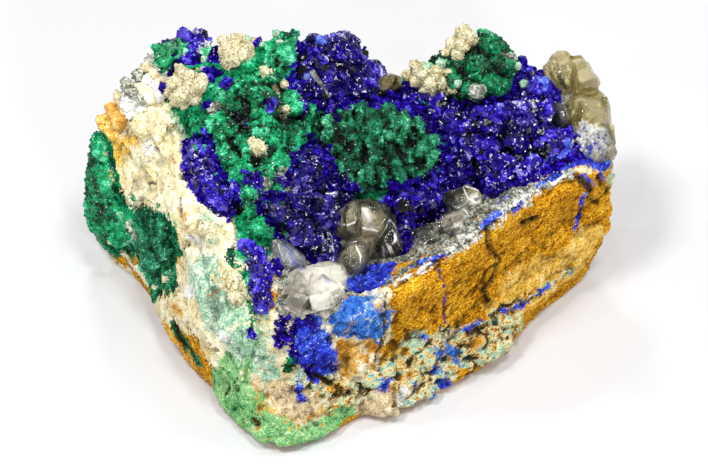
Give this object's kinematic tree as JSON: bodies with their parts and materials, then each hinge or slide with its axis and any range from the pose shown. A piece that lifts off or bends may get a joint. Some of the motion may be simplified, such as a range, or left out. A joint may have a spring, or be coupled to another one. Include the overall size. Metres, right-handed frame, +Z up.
{
  "type": "cerussite and azurite on malachite specimen",
  "caption": "Hand specimen: an ochre rock block, flat underneath, with green, blue and cream crystal crusts and clear to tan crystals.",
  "frame": {"origin": "centre of the bounding box, at the flat underside", "axes": "+Z up from the flat underside, +X to the right as the ochre break is seen from the front, +Y to the back"},
  "size_m": [0.0731, 0.0533, 0.0354],
  "materials": {
    "limonite": "rough earthy limonite, ochre to brown",
    "cream_crystals": "cream druse of tiny crystals, sparkling",
    "malachite": "green velvet of fine crystals",
    "azurite": "deep blue glossy crystals",
    "cerussite_clear": "clear to grey crystal, adamantine",
    "cerussite_tan": "tan crystal, see-through, adamantine",
    "cerussite_white": "milky white crystal"
  },
  "bodies": {
    "root": {"matrix": "limonite", "cream_crust": "cream_crystals", "cream_ball": "cream_crystals", "cream_tuft_left": "cream_crystals", "cream_tuft_right": "cream_crystals", "cream_spire": "cream_crystals", "malachite_crust": "malachite", "malachite_rosette": "malachite", "malachite_mound": "malachite", "malachite_flank": "malachite", "azurite_back": "azurite", "azurite_right": "azurite", "azurite_centre": "azurite", "azurite_hollow": "azurite", "azurite_strip": "azurite", "azurite_strip_low": "azurite", "azurite_corner": "azurite", "cerussite_twin": "cerussite_clear", "cerussite_side": "cerussite_clear", "cerussite_shard": "cerussite_clear", "cerussite_group": "cerussite_clear", "cerussite_smoky": "cerussite_clear", "cerussite_lath": "cerussite_clear", "cerussite_white": "cerussite_white", "cerussite_corner": "cerussite_tan", "cerussite_notch": "cerussite_tan"}
  },
  "joints": []
}
